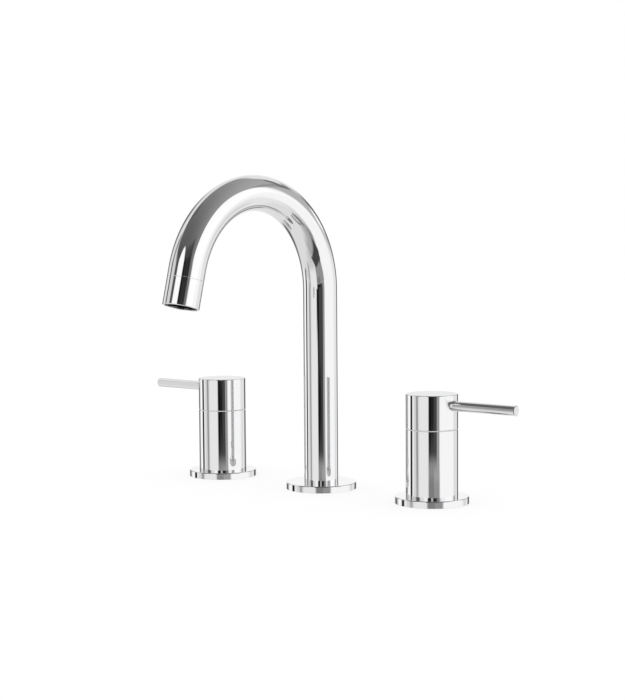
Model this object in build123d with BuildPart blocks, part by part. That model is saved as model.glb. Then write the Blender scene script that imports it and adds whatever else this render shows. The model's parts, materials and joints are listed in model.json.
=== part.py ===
from build123d import *
import os
from math import cos, pi, radians, sin

os.makedirs("parts", exist_ok=True)

# Widespread bathroom faucet: a fixed gooseneck spout between two quarter-turn lever handles.
# Millimetres, +Z up. X runs along the row and the spout points to -Y, towards the user.
# The origin is the centre of the spout's foot, on the top of the deck.

# Layout
spread = 203.2  # from handle axis to handle axis, the common 8 inch spread
deck = 30.0  # thickness of the deck between flanges and washers

# Fits, shared by every piece
running = 0.05  # radial gap of turning, screwed and slid-on fits
passing = 0.3  # gap between round faces that only pass each other
overrun = 4.0  # how far a cut runs past the face that it opens
root_overlap = 1.0  # how far a lobe or a lug starts inside its shaft
seam_bevel = 0.25  # bevel on both edges of the joint line on the spout

# Flanges and gaskets
flange_d = 52.5
flange_h = 5.0
flange_round = 0.8
flange_rim = 2.5  # flange left standing outside the gasket
foot_seat = 1.0  # depth of the seat that the tube and the sleeves stand in
gasket_h = 1.6
gasket_gap = 0.2

# Spout tube
tube_d = 25.4
tube_wall = 1.2
column_h = 148.0  # deck to the centre of the bend
bend_r = 70.0
nose_tilt = 14.5  # degrees by which the nose leans away from straight down
nose_len = 26.0  # straight length after the bend, ferrule included
ferrule_len = 19.0
spigot_len = 6.0

# Aerator in the nose
mouth_wall = 1.7
mouth_ledge = 2.5  # shoulder above the aerator, from the mouth's wall to the waterway
mouth_depth = 14.0
mouth_round = 0.5
aerator_recess = 1.2
aerator_wall = 1.2
aerator_lip = 1.0
aerator_washer_h = 2.0
screen_h = 0.6
key_slots = 4
key_slot_w = 3.0
key_slot_depth = 0.7
cell_af = 2.1  # honeycomb cell across flats
cell_web = 0.6
core_rim = 0.8

# Spout plug, its rings and its set screw
plug_len = 30.0
plug_wall = 2.5
plug_thread_len = 16.0
plug_bore_step = 0.5  # from the shank's bore out to the plug's
plug_ring_cord = 1.8
plug_ring_first = 5.0  # from the plug's top to the first ring's centre
plug_ring_step = 7.0
groove_slack = 0.4  # groove width beyond the cord
screw_d = 5.0
screw_socket_af = 2.5
screw_socket_depth = 1.6
spout_screw_h = 12.0

# Spout shank, its washers and nut
shank_wall = 3.5
shank_len = 98.0
washer_d = 44.0
rubber_h = 3.0
steel_h = 1.6
nut_h = 10.0
nut_bevel = 1.5
shank_nut_wall = 7.0
washer_slack = 0.3

# Tee at the shank's lower end
tee_wall = 4.0
tee_thread_len = 14.0
tee_washer_h = 2.0
tee_arm_drop = 10.0  # from the washer to the arms' axis
tee_floor = 9.0  # from the arms' axis to the underside
tee_collar_d = 18.0
tee_collar_len = 4.0
branch_d = 14.28  # 9/16 inch branch thread
branch_len = 15.0
branch_bore_d = 8.0
tee_round = 2.0

# Ceramic cartridge: discs and the seal under them
moving_disc_d = 15.4
disc_h = 3.2
disc_gap = 0.3  # from the moving disc to the skirt round it
port_inner_r = 1.6
port_width = 78.0  # degrees of each of the two ports
drive_slot_w = 2.6
drive_slot_depth = 1.7
seal_h = 2.2
seal_inset = 0.5
seal_wall = 1.6

# Ceramic cartridge: housing
skirt_wall = 1.0
skirt_foot = 1.0  # gap under the skirt
collar_inset = 0.6
collar_h = 3.0
collar_ledge = 3.4  # width of the collar that the bonnet nut holds down
housing_wall = 3.0
housing_top_h = 42.0
stop_wall = 1.3  # wall left outside the stop pocket
stop_pocket_h = 4.0
stop_lug_width = 32.0  # degrees
stop_clear = 1.5  # degrees left at each end of the travel
lug_gap = 0.25
quarter_turn = 90.0  # degrees from closed to open
window_w = 7.0
window_h = 4.6
key_w = 2.2
key_depth = 0.8
housing_ring_cord = 1.6
housing_ring_rise = 4.0  # from the skirt's top to the ring's centre

# Stem
carrier_h = 6.0
carrier_gap = 0.4
carrier_core_d = 7.0
carrier_width = 66.0  # degrees of each lobe
stem_ring_cord = 1.4
stem_ring_rise = 5.0  # from the skirt's top to the first ring's centre
stem_ring_step = 6.0
shaft_rise = 4.0  # shaft standing out of the housing
spline_step = 1.0  # from the shaft's surface in to the splines' tips
spline_depth = 0.45
spline_teeth = 20

# Valve barrel through the deck, round the cartridge
seat_h = 4.0
skirt_gap = 1.0  # water space between skirt and barrel
barrel_wall = 2.0
barrel_step = 3.0  # from the neck's thread out to the barrel's
barrel_step_rise = 1.0  # from the sleeve's web to the neck
barrel_rise = 7.0  # from the housing's ring to the barrel's top
channel_d = 5.5
channel_wall = 1.75
channel_top_h = 11.0
barrel_nut_wall = 6.0

# Bonnet nut
bonnet_wall = 1.5
bonnet_thread = 10.0
bonnet_lip = 3.0

# Valve block below the deck
block_step = 2.0
block_top = -60.0
block_bottom = -84.0
block_bevel = 2.0  # at the block's lower edge
outlet_h = -72.0
outlet_boss_d = 18.0
outlet_boss_len = 3.0
inlet_d = 20.95  # 1/2 inch straight pipe thread
inlet_len = 18.0
inlet_mouth_d = 13.0
inlet_mouth_depth = 14.0

# Handle: sleeve, glide ring and hub
seam_h = 52.5
seam_gap = 0.6
seam_edge = 0.1  # bevel on both edges of the gap
sleeve_shoulder = 1.5  # from the barrel's thread out to the sleeve's bore
sleeve_wall = 2.0
sleeve_web_top_h = 11.0
glide_thrust_h = 0.5
glide_wall = 1.0
glide_drop = 5.0
glide_rise = 3.2
glide_inset = 0.15  # the glide ring lies almost flush in the gap
hub_len = 24.5  # from the middle of the seam to the handle's top
hub_wall = 3.0
hub_top_wall = 6.5
hub_round = 0.6
boss_wall = 3.0
boss_len = 6.0
adapter_wall = 2.0
adapter_len = 15.5
adapter_head = 0.5
adapter_cap = 6.0  # solid end over the stem
adapter_nose = 1.5  # adapter standing out of the boss
hub_screw_drop = 11.0  # from the handle's top to the screw's axis
hub_screw_recess = 4.15

# Lever
lever_d = 7.2
lever_drop = 7.5  # from the handle's top to the lever's axis
lever_out = 51.5  # lever standing out of the hub
lever_seat_depth = 2.75
lever_spigot_d = 5.0
lever_spigot_len = 7.0
lever_bevel = 0.4

# Worked out for the spout, from the tube inwards and then down
lean = radians(nose_tilt)
stub_len = nose_len - ferrule_len
foot_h = flange_h - foot_seat
tube_bore_d = tube_d - 2 * tube_wall
mouth_d = tube_d - 2 * mouth_wall
waterway_d = mouth_d - 2 * mouth_ledge
plug_r = tube_bore_d / 2 - running
plug_top = foot_h + plug_len
shank_d = tube_bore_d - 2 * plug_wall
shank_bore_d = shank_d - 2 * shank_wall
plug_bore_d = shank_bore_d + 2 * plug_bore_step
shank_top = foot_h + plug_thread_len
shank_bottom = shank_top - shank_len
shank_nut_af = shank_d + 2 * shank_nut_wall
tee_d = shank_d + 2 * tee_wall
tee_collar_reach = tee_d / 2 + tee_collar_len

# Worked out for the handle units, from the discs outwards to the handle's 37 across
skirt_bore_d = moving_disc_d + 2 * disc_gap
carrier_d = skirt_bore_d - 2 * carrier_gap
seal_d = skirt_bore_d - 2 * seal_inset
seal_bore_d = seal_d - 2 * seal_wall
inlet_way_d = seal_bore_d - passing
port_outer_r = seal_bore_d / 2 - passing
drive_slot_r = seal_bore_d / 2
skirt_d = skirt_bore_d + 2 * skirt_wall
cartridge_bore_d = skirt_d + 2 * skirt_gap
barrel_neck_d = cartridge_bore_d + 2 * barrel_wall
barrel_d = barrel_neck_d + 2 * barrel_step
handle_d = barrel_d + 2 * (sleeve_shoulder + sleeve_wall)
collar_d = barrel_neck_d - 2 * collar_inset
housing_neck_d = collar_d - 2 * collar_ledge
throat_d = housing_neck_d - 2 * housing_wall
stop_pocket_d = housing_neck_d - 2 * stop_wall
spline_d = throat_d - 2 * spline_step
adapter_d = spline_d + 2 * adapter_wall
boss_d = adapter_d + 2 * boss_wall
bonnet_af = barrel_neck_d + 2 * bonnet_wall
barrel_nut_af = barrel_d + 2 * barrel_nut_wall
block_d = barrel_d + 2 * block_step
outlet_boss_reach = block_d / 2 + outlet_boss_len
channel_offset = barrel_d / 2 - channel_wall - channel_d / 2
glide_r = handle_d / 2 - hub_wall - running
lever_seat_r = handle_d / 2 - lever_seat_depth
lever_reach = handle_d / 2 + lever_out

# Heights in the handle units, from the cartridge's seat up and from the handle's top down
disc_seat_h = seat_h + seal_h
disc_joint_h = disc_seat_h + disc_h
disc_top_h = disc_joint_h + disc_h
skirt_top_h = disc_top_h + carrier_h + carrier_gap
housing_ring_h = skirt_top_h + housing_ring_rise
stem_ring_first_h = skirt_top_h + stem_ring_rise
barrel_step_h = sleeve_web_top_h + barrel_step_rise
barrel_top_h = housing_ring_h + barrel_rise
bonnet_bottom_h = barrel_top_h - bonnet_thread
shaft_top_h = housing_top_h + shaft_rise
hub_bottom_h = seam_h + seam_gap / 2
sleeve_top_h = seam_h - seam_gap / 2
handle_top_h = seam_h + hub_len
adapter_top_h = handle_top_h - hub_top_wall - adapter_head
adapter_bottom_h = adapter_top_h - adapter_len
stem_top_h = adapter_top_h - adapter_cap
boss_bottom_h = adapter_bottom_h + adapter_nose
hub_pocket_top_h = boss_bottom_h + boss_len
hub_screw_h = handle_top_h - hub_screw_drop
lever_h = handle_top_h - lever_drop

# Planes: the spout's deck plane, the two handle units' and the start of the nose
spout_base = Plane.XY
sides = {"left": -1, "right": 1}
nose = Plane(
    origin=(0, -bend_r * (1 + cos(lean)), column_h + bend_r * sin(lean)),
    x_dir=(1, 0, 0),
    z_dir=(0, -sin(lean), -cos(lean)),
)


def side_base(side):
    """Deck plane of a handle unit, its x axis pointing away from the spout."""
    return Plane(origin=(side * spread / 2, 0, 0), x_dir=(side, 0, 0), z_dir=(0, 0, 1))


def facing(base, height, angle):
    """Upright plane through a unit's axis, its normal at this angle from the unit's x axis."""
    turn = radians(angle)
    out = base.x_dir * cos(turn) + base.y_dir * sin(turn)
    return Plane(origin=base.offset(height).origin, x_dir=base.z_dir, z_dir=out)


def keep(piece, name):
    """Label a finished piece and write it."""
    piece.part.label = name
    export_step(piece.part, f"parts/{name}.step")


def spin(base, outline, mode=Mode.ADD):
    """Turn a closed outline of (radius, height) corners about a unit's axis."""
    section = Plane(origin=base.origin, x_dir=base.x_dir, z_dir=-base.y_dir)
    with BuildSketch(section) as profile:
        with BuildLine():
            Polyline(*outline, close=True)
        make_face()
    revolve(profile.sketch, axis=Axis(base.origin, base.z_dir), mode=mode)


def bar(base, low, high, outer_d, mode=Mode.ADD):
    """Round bar along a plane's normal, from one distance to another."""
    with BuildSketch(base.offset(low)) as section:
        Circle(outer_d / 2)
    extrude(section.sketch, amount=high - low, mode=mode)


def pipe(base, low, high, outer_d, inner_d, mode=Mode.ADD):
    """Ring of this height, or the groove that such a ring cuts."""
    with BuildSketch(base.offset(low)) as section:
        Circle(outer_d / 2)
        Circle(inner_d / 2, mode=Mode.SUBTRACT)
    extrude(section.sketch, amount=high - low, mode=mode)


def sector(inner_r, outer_r, middle, width):
    """Piece of a ring between two radii, centred on an angle in degrees."""
    start = middle - width / 2
    with BuildLine() as outline:
        outer = CenterArc((0, 0), outer_r, start, width)
        inner = CenterArc((0, 0), inner_r, start, width)
        Line(outer @ 0, inner @ 0)
        Line(outer @ 1, inner @ 1)
    make_face(outline.edges())


def groove(base, middle, cord, surface_d):
    """Groove in a shaft that holds a rubber ring just below the shaft's surface."""
    low = middle - (cord + groove_slack) / 2
    floor_d = surface_d - 2 * cord - 2 * running
    pipe(base, low, low + cord + groove_slack, surface_d + overrun, floor_d, Mode.SUBTRACT)


def rubber_rings(base, middles, cord, surface_d):
    """Rubber rings that lie in such grooves."""
    section = Plane(origin=base.origin, x_dir=base.x_dir, z_dir=-base.y_dir)
    with BuildPart() as piece:
        with BuildSketch(section):
            with Locations(*[(surface_d / 2 - cord / 2, middle) for middle in middles]):
                Circle(cord / 2)
        revolve(axis=Axis(base.origin, base.z_dir))
    return piece


def flat_ring(base, low, high, outer_d, inner_d):
    """Plain washer, gasket or seal."""
    with BuildPart() as piece:
        pipe(base, low, high, outer_d, inner_d)
    return piece


def grub_screw(axis_plane, inner, outer):
    """Headless screw with a hexagon socket in its outer end."""
    with BuildPart() as piece:
        bar(axis_plane, inner, outer, screw_d)
        with BuildSketch(axis_plane.offset(outer)):
            RegularPolygon(screw_socket_af / 2, 6, major_radius=False)
        extrude(amount=-screw_socket_depth, mode=Mode.SUBTRACT)
    return piece


def hexagon_nut(base, low, high, across_flats, bore_d):
    """Hexagon nut with bevelled corners."""
    corner = across_flats / cos(radians(30)) / 2
    flat = across_flats / 2
    with BuildPart() as piece:
        with BuildSketch(base.offset(low)):
            RegularPolygon(flat, 6, major_radius=False)
        extrude(amount=high - low)
        bevelled = [
            (0, low),
            (flat, low),
            (corner, low + nut_bevel),
            (corner, high - nut_bevel),
            (flat, high),
            (0, high),
        ]
        spin(base, bevelled, Mode.INTERSECT)
        bar(base, low - overrun, high + overrun, bore_d, Mode.SUBTRACT)
    return piece


def flange(base, bore_d, foot_d):
    """Round plate on the deck, with a seat on top and a recess for its gasket below."""
    with BuildPart() as piece:
        bar(base, 0, flange_h, flange_d)
        fillet(piece.edges().group_by(Axis.Z)[-1], flange_round)
        bar(base, foot_h, flange_h + overrun, foot_d + 2 * running, Mode.SUBTRACT)
        bar(base, -overrun, gasket_h, flange_d - 2 * flange_rim, Mode.SUBTRACT)
        bar(base, -overrun, flange_h + overrun, bore_d, Mode.SUBTRACT)
    return piece


def gasket(base, bore_d):
    """Soft ring that fills the flange's recess, flush with its underside."""
    return flat_ring(base, 0, gasket_h, flange_d - 2 * flange_rim - 2 * gasket_gap, bore_d)


# Spout: the bent tube
with BuildPart() as spout_tube:
    with BuildLine(Plane.YZ):
        Line((0, foot_h), (0, column_h))
        bend = CenterArc((-bend_r, column_h), bend_r, 0, 180 - nose_tilt)
        Line(bend @ 1, bend @ 1 + (bend % 1) * stub_len)
    with BuildSketch(spout_base.offset(foot_h)):
        Circle(tube_d / 2)
        Circle(tube_bore_d / 2, mode=Mode.SUBTRACT)
    sweep()
    nose_end = spout_tube.faces().sort_by_distance(nose.offset(stub_len).origin)[0]
    chamfer(nose_end.edges().sort_by(SortBy.LENGTH)[-1], seam_bevel)
    bar(facing(spout_base, spout_screw_h, 90), 0, tube_d, screw_d + 2 * running, Mode.SUBTRACT)
keep(spout_tube, "spout_tube")

# Spout: the ferrule at its nose, with a spigot in the tube and a mouth for the aerator
with BuildPart() as spout_nose:
    bar(nose, stub_len, nose_len, tube_d)
    seam_end = spout_nose.faces().sort_by_distance(nose.offset(stub_len).origin)[0]
    chamfer(seam_end.edges(), seam_bevel)
    mouth_end = spout_nose.faces().sort_by_distance(nose.offset(nose_len).origin)[0]
    fillet(mouth_end.edges(), mouth_round)
    bar(nose, stub_len - spigot_len, stub_len, tube_bore_d - 2 * running)
    bar(nose, -overrun, nose_len + overrun, waterway_d, Mode.SUBTRACT)
    bar(nose, nose_len - mouth_depth, nose_len + overrun, mouth_d, Mode.SUBTRACT)
keep(spout_nose, "spout_nose")

# Aerator: washer, screen, honeycomb core and the slotted shell that carries them
washer_top = nose_len - mouth_depth
shell_top = washer_top + aerator_washer_h
shell_bottom = nose_len - aerator_recess
shell_d = mouth_d - 2 * running
shell_bore_d = shell_d - 2 * aerator_wall
insert_d = shell_bore_d - 2 * running
keep(flat_ring(nose, washer_top, shell_top, shell_d, waterway_d), "aerator_washer")

with BuildPart() as aerator_screen:
    bar(nose, shell_top, shell_top + screen_h, insert_d)
keep(aerator_screen, "aerator_screen")

with BuildPart() as aerator_housing:
    pipe(nose, shell_top, shell_bottom, shell_d, shell_bore_d)
    pipe(nose, shell_bottom - aerator_lip, shell_bottom, shell_d, insert_d - 2 * core_rim)
    with BuildSketch(nose.offset(shell_bottom - key_slot_depth)):
        with PolarLocations(shell_bore_d / 2, key_slots):
            Rectangle(2 * aerator_wall + 2 * core_rim, key_slot_w)
    extrude(amount=key_slot_depth + overrun, mode=Mode.SUBTRACT)
keep(aerator_housing, "aerator_housing")

# The honeycomb's rows are a cell and a web apart, every other row shifted by half a step
cell_step = cell_af + cell_web
row_step = cell_step * cos(radians(30))
cell_corner_r = cell_af / 2 / cos(radians(30))
cell_limit = insert_d / 2 - core_rim - cell_corner_r
cell_reach = int(insert_d / cell_step)
cells = []
for row in range(-cell_reach, cell_reach + 1):
    for column in range(-cell_reach, cell_reach + 1):
        place = Vector((column + row % 2 / 2) * cell_step, row * row_step)
        if place.length < cell_limit:
            cells.append(place)
with BuildPart() as aerator_core:
    bar(nose, shell_top + screen_h, shell_bottom - aerator_lip, insert_d)
    with BuildSketch(nose.offset(shell_top + screen_h)):
        with Locations(*cells):
            RegularPolygon(cell_af / 2, 6, major_radius=False, rotation=30)
    extrude(amount=shell_bottom - shell_top, mode=Mode.SUBTRACT)
keep(aerator_core, "aerator_core")

# Spout foot: flange, gasket, and the plug that joins the tube to the shank
keep(flange(spout_base, shank_d + 2 * washer_slack, tube_d), "spout_flange")
keep(gasket(spout_base, shank_d + 2 * washer_slack), "spout_gasket")

plug_rings = [plug_top - plug_ring_first - turn * plug_ring_step for turn in range(2)]
spout_screw_axis = facing(spout_base, spout_screw_h, 90)
with BuildPart() as spout_hub:
    bar(spout_base, foot_h, plug_top, 2 * plug_r)
    bar(spout_base, foot_h - overrun, shank_top, shank_d + 2 * running, Mode.SUBTRACT)
    bar(spout_base, foot_h, plug_top + overrun, plug_bore_d, Mode.SUBTRACT)
    for middle in plug_rings:
        groove(spout_base, middle, plug_ring_cord, 2 * plug_r)
    bar(spout_screw_axis, 0, tube_d, screw_d + 2 * running, Mode.SUBTRACT)
keep(spout_hub, "spout_hub")
keep(rubber_rings(spout_base, plug_rings, plug_ring_cord, 2 * plug_r), "spout_o_rings")
screw_tip = shank_d / 2 + 2 * running
keep(grub_screw(spout_screw_axis, screw_tip, tube_d / 2 - running), "spout_set_screw")

# Spout below the deck: shank, washers, nut and tee
keep(flat_ring(spout_base, shank_bottom, shank_top, shank_d, shank_bore_d), "spout_shank")
under_rubber = -deck - rubber_h
under_steel = under_rubber - steel_h
under_nut = under_steel - nut_h
shank_hole_d = shank_d + 2 * washer_slack
keep(flat_ring(spout_base, under_rubber, -deck, washer_d, shank_hole_d), "spout_rubber_washer")
keep(flat_ring(spout_base, under_steel, under_rubber, washer_d, shank_hole_d), "spout_steel_washer")
shank_nut = hexagon_nut(spout_base, under_nut, under_steel, shank_nut_af, shank_d + 2 * running)
keep(shank_nut, "spout_locknut")

tee_seat = shank_bottom - tee_washer_h
arm_h = tee_seat - tee_arm_drop
branch_reach = tee_collar_reach + branch_len
keep(flat_ring(spout_base, tee_seat, shank_bottom, shank_d, shank_bore_d), "tee_washer")
with BuildPart() as spout_tee:
    bar(spout_base, arm_h - tee_floor, shank_bottom + tee_thread_len, tee_d)
    fillet(spout_tee.edges().group_by(Axis.Z)[0], tee_round)
    for angle in (0, 180):
        arm = facing(spout_base, arm_h, angle)
        bar(arm, 0, tee_collar_reach, tee_collar_d)
        bar(arm, 0, branch_reach, branch_d)
    for angle in (0, 180):
        arm = facing(spout_base, arm_h, angle)
        bar(arm, 0, branch_reach + overrun, branch_bore_d, Mode.SUBTRACT)
    bar(spout_base, tee_seat, shank_bottom + tee_thread_len + overrun, shank_d + 2 * running,
        Mode.SUBTRACT)
    bar(spout_base, arm_h, tee_seat, shank_bore_d, Mode.SUBTRACT)
keep(spout_tee, "spout_tee")


def valve_body(base):
    """Threaded barrel through the deck, over a block with its inlet below and outlet inwards."""
    inlet_end = block_bottom - inlet_len
    outline = [
        (0, inlet_end),
        (inlet_d / 2, inlet_end),
        (inlet_d / 2, block_bottom),
        (block_d / 2 - block_bevel, block_bottom),
        (block_d / 2, block_bottom + block_bevel),
        (block_d / 2, block_top - (block_d - barrel_d) / 2),
        (barrel_d / 2, block_top),
        (barrel_d / 2, barrel_step_h),
        (barrel_neck_d / 2, barrel_step_h),
        (barrel_neck_d / 2, barrel_top_h),
        (0, barrel_top_h),
    ]
    outlet = facing(base, outlet_h, 180)
    with BuildPart() as piece:
        spin(base, outline)
        bar(outlet, 0, outlet_boss_reach, outlet_boss_d)
        bar(outlet, 0, outlet_boss_reach + branch_len, branch_d)
        bar(base, seat_h, barrel_top_h + overrun, cartridge_bore_d, Mode.SUBTRACT)
        bar(base, inlet_end - overrun, seat_h + overrun, inlet_way_d, Mode.SUBTRACT)
        bar(base, inlet_end - overrun, inlet_end + inlet_mouth_depth, inlet_mouth_d, Mode.SUBTRACT)
        with BuildSketch(base.offset(outlet_h)):
            with Locations((-channel_offset, 0)):
                Circle(channel_d / 2)
        extrude(amount=channel_top_h - outlet_h, mode=Mode.SUBTRACT)
        outlet_end = outlet_boss_reach + branch_len + overrun
        bar(outlet, channel_offset, outlet_end, branch_bore_d, Mode.SUBTRACT)
    return piece


def cartridge_housing(base, turn):
    """Brass shell of the cartridge: windowed skirt, seat collar, and the pocket that stops the stem."""
    skirt_low = seat_h + skirt_foot
    collar_top = barrel_top_h + collar_h
    bore_r = skirt_bore_d / 2
    throat_r = throat_d / 2 + running
    outline = [
        (bore_r, skirt_low),
        (skirt_d / 2, skirt_low),
        (skirt_d / 2, skirt_top_h),
        (cartridge_bore_d / 2 - running, skirt_top_h),
        (cartridge_bore_d / 2 - running, barrel_top_h),
        (collar_d / 2, barrel_top_h),
        (collar_d / 2, collar_top),
        (housing_neck_d / 2, collar_top),
        (housing_neck_d / 2, housing_top_h),
        (throat_r, housing_top_h),
        (throat_r, skirt_top_h),
        (bore_r, skirt_top_h),
    ]
    with BuildPart() as piece:
        spin(base, outline)
        groove(base, housing_ring_h, housing_ring_cord, cartridge_bore_d - 2 * running)
        with BuildSketch(facing(base, disc_top_h + window_h / 2, 90)):
            Rectangle(window_h, window_w)
        extrude(amount=skirt_d, both=True, mode=Mode.SUBTRACT)
        with BuildSketch(base.offset(disc_seat_h)):
            with PolarLocations(bore_r - key_depth / 2, 2, start_angle=90):
                Rectangle(key_depth + 2 * running, key_w)
        extrude(amount=disc_h - running)
        travel = quarter_turn + stop_lug_width + 2 * stop_clear
        with BuildSketch(base.offset(housing_top_h - stop_pocket_h)):
            sector(throat_r - running, stop_pocket_d / 2, turn * quarter_turn / 2, travel)
        extrude(amount=stop_pocket_h + overrun, mode=Mode.SUBTRACT)
    return piece


def ports(middle):
    """The two facing openings of a ceramic disc."""
    for angle in (middle, middle + 180):
        sector(port_inner_r, port_outer_r, angle, port_width)


def fixed_disc(base):
    """Lower ceramic disc, keyed to the housing, open along the row."""
    disc_d = skirt_bore_d - 2 * running
    with BuildPart() as piece:
        bar(base, disc_seat_h, disc_joint_h, disc_d)
        with BuildSketch(base.offset(disc_seat_h)):
            ports(0)
            with PolarLocations(disc_d / 2, 2, start_angle=90):
                Rectangle(2 * key_depth + 4 * running, key_w + 4 * running)
        extrude(amount=disc_h, mode=Mode.SUBTRACT)
    return piece


def moving_disc(base):
    """Upper ceramic disc, its openings a quarter turn from the lower one's when closed."""
    with BuildPart() as piece:
        bar(base, disc_joint_h, disc_top_h, moving_disc_d)
        with BuildSketch(base.offset(disc_joint_h)):
            ports(90)
        extrude(amount=disc_h, mode=Mode.SUBTRACT)
        with BuildSketch(base.offset(disc_top_h - drive_slot_depth)):
            with PolarLocations(moving_disc_d / 2, 2):
                Rectangle(moving_disc_d - 2 * drive_slot_r, drive_slot_w)
        extrude(amount=drive_slot_depth + overrun, mode=Mode.SUBTRACT)
    return piece


def splines(tip_d):
    """Star of fine teeth, as a closed outline of tips and roots."""
    step = pi / spline_teeth
    corners = []
    for tooth in range(spline_teeth):
        tip = 2 * tooth * step
        root = tip + step
        root_r = tip_d / 2 - spline_depth
        corners.append((tip_d / 2 * cos(tip), tip_d / 2 * sin(tip)))
        corners.append((root_r * cos(root), root_r * sin(root)))
    with BuildLine() as outline:
        Polyline(*corners, close=True)
    make_face(outline.edges())


def stem_rings():
    """Heights of the stem's two rubber rings."""
    return [stem_ring_first_h + turn * stem_ring_step for turn in range(2)]


def stem(base):
    """Brass stem: two-lobed carrier on the disc, sealed shaft, stop lug and splined head."""
    slot_middle_r = (moving_disc_d / 2 + drive_slot_r) / 2
    slot_len = moving_disc_d / 2 - drive_slot_r - 2 * lug_gap
    with BuildPart() as piece:
        bar(base, disc_top_h, skirt_top_h, carrier_core_d)
        with BuildSketch(base.offset(disc_top_h)):
            for angle in (0, 180):
                sector(carrier_core_d / 2 - root_overlap, carrier_d / 2, angle, carrier_width)
        extrude(amount=carrier_h)
        with BuildSketch(base.offset(disc_top_h)):
            with PolarLocations(slot_middle_r, 2):
                Rectangle(slot_len, drive_slot_w - 2 * lug_gap)
        extrude(amount=-(drive_slot_depth - lug_gap))
        bar(base, disc_top_h + carrier_h, shaft_top_h, throat_d)
        for middle in stem_rings():
            groove(base, middle, stem_ring_cord, throat_d)
        with BuildSketch(base.offset(housing_top_h - stop_pocket_h + passing)):
            sector(throat_d / 2 - root_overlap, stop_pocket_d / 2 - passing, 0, stop_lug_width)
        extrude(amount=stop_pocket_h - passing)
        with BuildSketch(base.offset(shaft_top_h)):
            splines(spline_d)
        extrude(amount=stem_top_h - shaft_top_h)
    return piece


def bonnet_nut(base):
    """Hexagon cap nut that holds the housing's collar down on the barrel."""
    collar_top = barrel_top_h + collar_h
    nut = hexagon_nut(base, bonnet_bottom_h, collar_top + bonnet_lip, bonnet_af,
                      housing_neck_d + 2 * passing)
    with BuildPart() as piece:
        add(nut.part)
        bar(base, bonnet_bottom_h - overrun, collar_top, barrel_neck_d + 2 * running, Mode.SUBTRACT)
    return piece


def sleeve(base):
    """Fixed lower cylinder, screwed on the barrel so that it holds the flange down."""
    inner_r = handle_d / 2 - sleeve_wall
    outline = [
        (barrel_d / 2 + running, foot_h),
        (handle_d / 2, foot_h),
        (handle_d / 2, sleeve_top_h - seam_edge),
        (handle_d / 2 - seam_edge, sleeve_top_h),
        (inner_r, sleeve_top_h),
        (inner_r, sleeve_web_top_h),
        (barrel_d / 2 + running, sleeve_web_top_h),
    ]
    with BuildPart() as piece:
        spin(base, outline)
    return piece


def glide_ring(base):
    """Plastic bearing between sleeve and hub, with a collar in each and a thin thrust face."""
    sleeve_r = handle_d / 2 - sleeve_wall - running
    inner_r = glide_r - glide_wall
    thrust_top = sleeve_top_h + glide_thrust_h
    outline = [
        (sleeve_r - glide_wall, sleeve_top_h - glide_drop),
        (sleeve_r, sleeve_top_h - glide_drop),
        (sleeve_r, sleeve_top_h),
        (handle_d / 2 - glide_inset, sleeve_top_h),
        (handle_d / 2 - glide_inset, thrust_top),
        (glide_r, thrust_top),
        (glide_r, thrust_top + glide_rise),
        (inner_r, thrust_top + glide_rise),
        (inner_r, sleeve_top_h),
        (sleeve_r - glide_wall, sleeve_top_h),
    ]
    with BuildPart() as piece:
        spin(base, outline)
    return piece


def handle_hub(base, turn):
    """Turning upper cylinder: thick top, hollow skirt on the bearing, and a boss on the adapter."""
    pocket_r = handle_d / 2 - hub_wall
    adapter_r = adapter_d / 2 + running
    outline = [
        (adapter_r, boss_bottom_h),
        (boss_d / 2, boss_bottom_h),
        (boss_d / 2, hub_pocket_top_h),
        (pocket_r, hub_pocket_top_h),
        (pocket_r, hub_bottom_h),
        (handle_d / 2 - seam_edge, hub_bottom_h),
        (handle_d / 2, hub_bottom_h + seam_edge),
        (handle_d / 2, handle_top_h),
        (0, handle_top_h),
        (0, adapter_top_h + adapter_head),
        (adapter_r, adapter_top_h + adapter_head),
    ]
    lever_axis = facing(base, lever_h, 0)
    spigot_end = lever_seat_r - lever_spigot_len - passing
    with BuildPart() as piece:
        spin(base, outline)
        fillet(piece.edges().group_by(Axis.Z)[-1], hub_round)
        bar(lever_axis, lever_seat_r, handle_d, lever_d + 2 * running, Mode.SUBTRACT)
        bar(lever_axis, spigot_end, handle_d, lever_spigot_d + 2 * running, Mode.SUBTRACT)
        bar(facing(base, hub_screw_h, -turn * 90), 0, handle_d, screw_d + 2 * running, Mode.SUBTRACT)
    return piece


def lever(base):
    """Thin round lever, shouldered in the hub and screwed in by its spigot."""
    axis_plane = facing(base, lever_h, 0)
    with BuildPart() as piece:
        bar(axis_plane, lever_seat_r, lever_reach, lever_d)
        tip = piece.faces().sort_by_distance(axis_plane.offset(lever_reach).origin)[0]
        chamfer(tip.edges(), lever_bevel)
        bar(axis_plane, lever_seat_r - lever_spigot_len, lever_seat_r, lever_spigot_d)
    return piece


def stem_adapter(base):
    """Brass bush between the splined stem and the hub's boss."""
    with BuildPart() as piece:
        bar(base, adapter_bottom_h, adapter_top_h, adapter_d)
        with BuildSketch(base.offset(adapter_bottom_h - overrun)):
            splines(spline_d + 2 * running)
        extrude(amount=stem_top_h + passing - adapter_bottom_h + overrun, mode=Mode.SUBTRACT)
    return piece


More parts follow.
